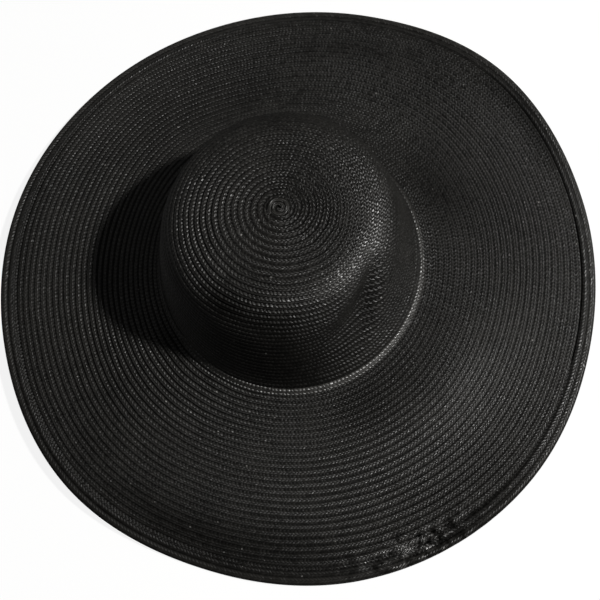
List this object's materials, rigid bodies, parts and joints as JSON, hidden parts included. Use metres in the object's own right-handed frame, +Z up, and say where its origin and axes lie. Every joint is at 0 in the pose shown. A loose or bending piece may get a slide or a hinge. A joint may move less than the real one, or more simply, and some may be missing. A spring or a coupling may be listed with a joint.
{
  "type": "floppy sun hat",
  "caption": "Wide floppy sun hat of sewn black straw braid, with a soft hollow crown, a drooping wavy brim and a folded hem, lying crown up.",
  "frame": {"origin": "on the surface the hat lies on, under the middle of its box", "axes": "+Z up out of the crown's tip, front of the hat towards -Y, +X to its wearer's left when it is worn with -Y forward"},
  "size_m": [0.4428, 0.4452, 0.1549],
  "materials": {
    "crown_straw": "black sewn paper-straw braid, satin",
    "brim_straw": "black sewn paper-straw braid, satin",
    "hem_straw": "black paper-straw braid, folded and sewn, satin"
  },
  "bodies": {
    "root": {"crown": "crown_straw", "crown_tip": "crown_straw", "brim": "brim_straw", "brim_hem": "hem_straw"}
  },
  "joints": []
}
